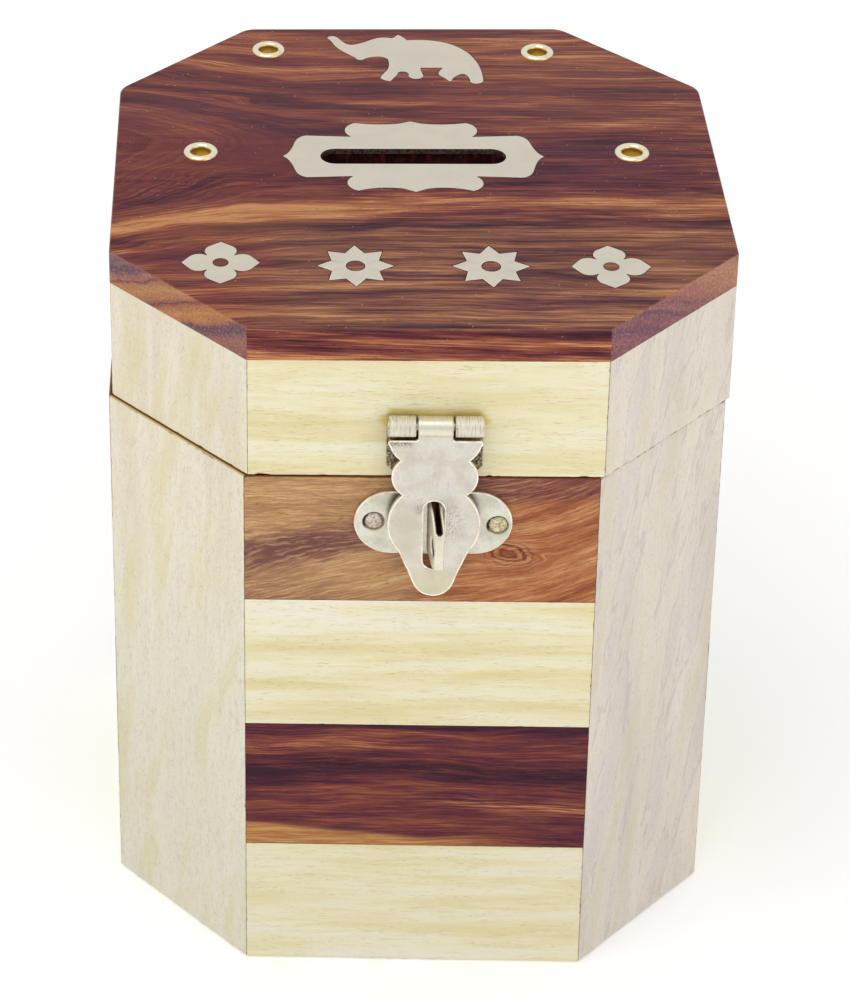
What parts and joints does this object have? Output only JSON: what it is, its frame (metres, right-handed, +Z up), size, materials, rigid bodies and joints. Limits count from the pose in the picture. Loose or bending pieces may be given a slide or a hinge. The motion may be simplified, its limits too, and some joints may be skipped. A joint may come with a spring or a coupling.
{
  "type": "wooden money box",
  "caption": "Octagonal striped wooden money box with a hinged inlaid lid, a coin slot plate and a front hasp and staple.",
  "frame": {"origin": "centre of the case's flat underside, where the box rests on a table", "axes": "+Z up, -Y towards the hasp side (the front), +X to the right seen from the front"},
  "size_m": [0.1026, 0.1105, 0.1295],
  "materials": {
    "pale_wood": "clear lacquer, satin",
    "pale_corner_wood": "clear lacquer, satin",
    "rosewood_light": "clear lacquer, satin",
    "rosewood_dark": "clear lacquer, satin",
    "inlay_metal": "sanded flush",
    "eyelet_brass": "polished",
    "hasp_metal": "dull nickel plate",
    "nail_steel": "dull, scuffed heads"
  },
  "bodies": {
    "case": {"back_strip_1": "rosewood_light", "back_strip_2": "pale_wood", "back_strip_3": "rosewood_dark", "back_strip_4": "pale_wood", "corner_back_left": "pale_corner_wood", "corner_back_right": "pale_corner_wood", "corner_front_left": "pale_corner_wood", "corner_front_right": "pale_corner_wood", "floor": "pale_corner_wood", "front_strip_1": "rosewood_light", "front_strip_2": "pale_wood", "front_strip_3": "rosewood_dark", "front_strip_4": "pale_wood", "hinge_case_nails": "nail_steel", "hinge_left_case_leaf": "hasp_metal", "hinge_left_pin": "hasp_metal", "hinge_right_case_leaf": "hasp_metal", "hinge_right_pin": "hasp_metal", "left_strip_1": "rosewood_light", "left_strip_2": "pale_wood", "left_strip_3": "rosewood_dark", "left_strip_4": "pale_wood", "right_strip_1": "rosewood_light", "right_strip_2": "pale_wood", "right_strip_3": "rosewood_dark", "right_strip_4": "pale_wood", "staple_loop": "hasp_metal", "staple_nails": "nail_steel", "staple_plate": "hasp_metal"},
    "lid": {"brass_eyelets": "eyelet_brass", "elephant_inlay": "inlay_metal", "hasp_leaf": "hasp_metal", "hasp_leaf_nails": "nail_steel", "hasp_pin": "hasp_metal", "hinge_left_lid_leaf": "hasp_metal", "hinge_lid_nails": "nail_steel", "hinge_right_lid_leaf": "hasp_metal", "lid_back_rail": "pale_wood", "lid_corner_back_left": "pale_corner_wood", "lid_corner_back_right": "pale_corner_wood", "lid_corner_front_left": "pale_corner_wood", "lid_corner_front_right": "pale_corner_wood", "lid_front_rail": "pale_wood", "lid_left_rail": "pale_wood", "lid_plate": "rosewood_dark", "lid_right_rail": "pale_wood", "ornament_far_left": "inlay_metal", "ornament_far_right": "inlay_metal", "ornament_left": "inlay_metal", "ornament_right": "inlay_metal", "slot_plate": "inlay_metal"},
    "hasp_flap": {"hasp_flap": "hasp_metal"}
  },
  "joints": [
    {"name": "lid_hinge", "type": "hinge", "parent": "case", "child": "lid", "pos_m": [0, 0.0515, 0.10095], "axis": [-1, 0, 0], "range_deg": [0, 175]},
    {"name": "hasp_hinge", "type": "hinge", "parent": "lid", "child": "hasp_flap", "pos_m": [0.0019, -0.05172, 0.11183], "axis": [-1, 0, 0], "range_deg": [0, 170]}
  ]
}
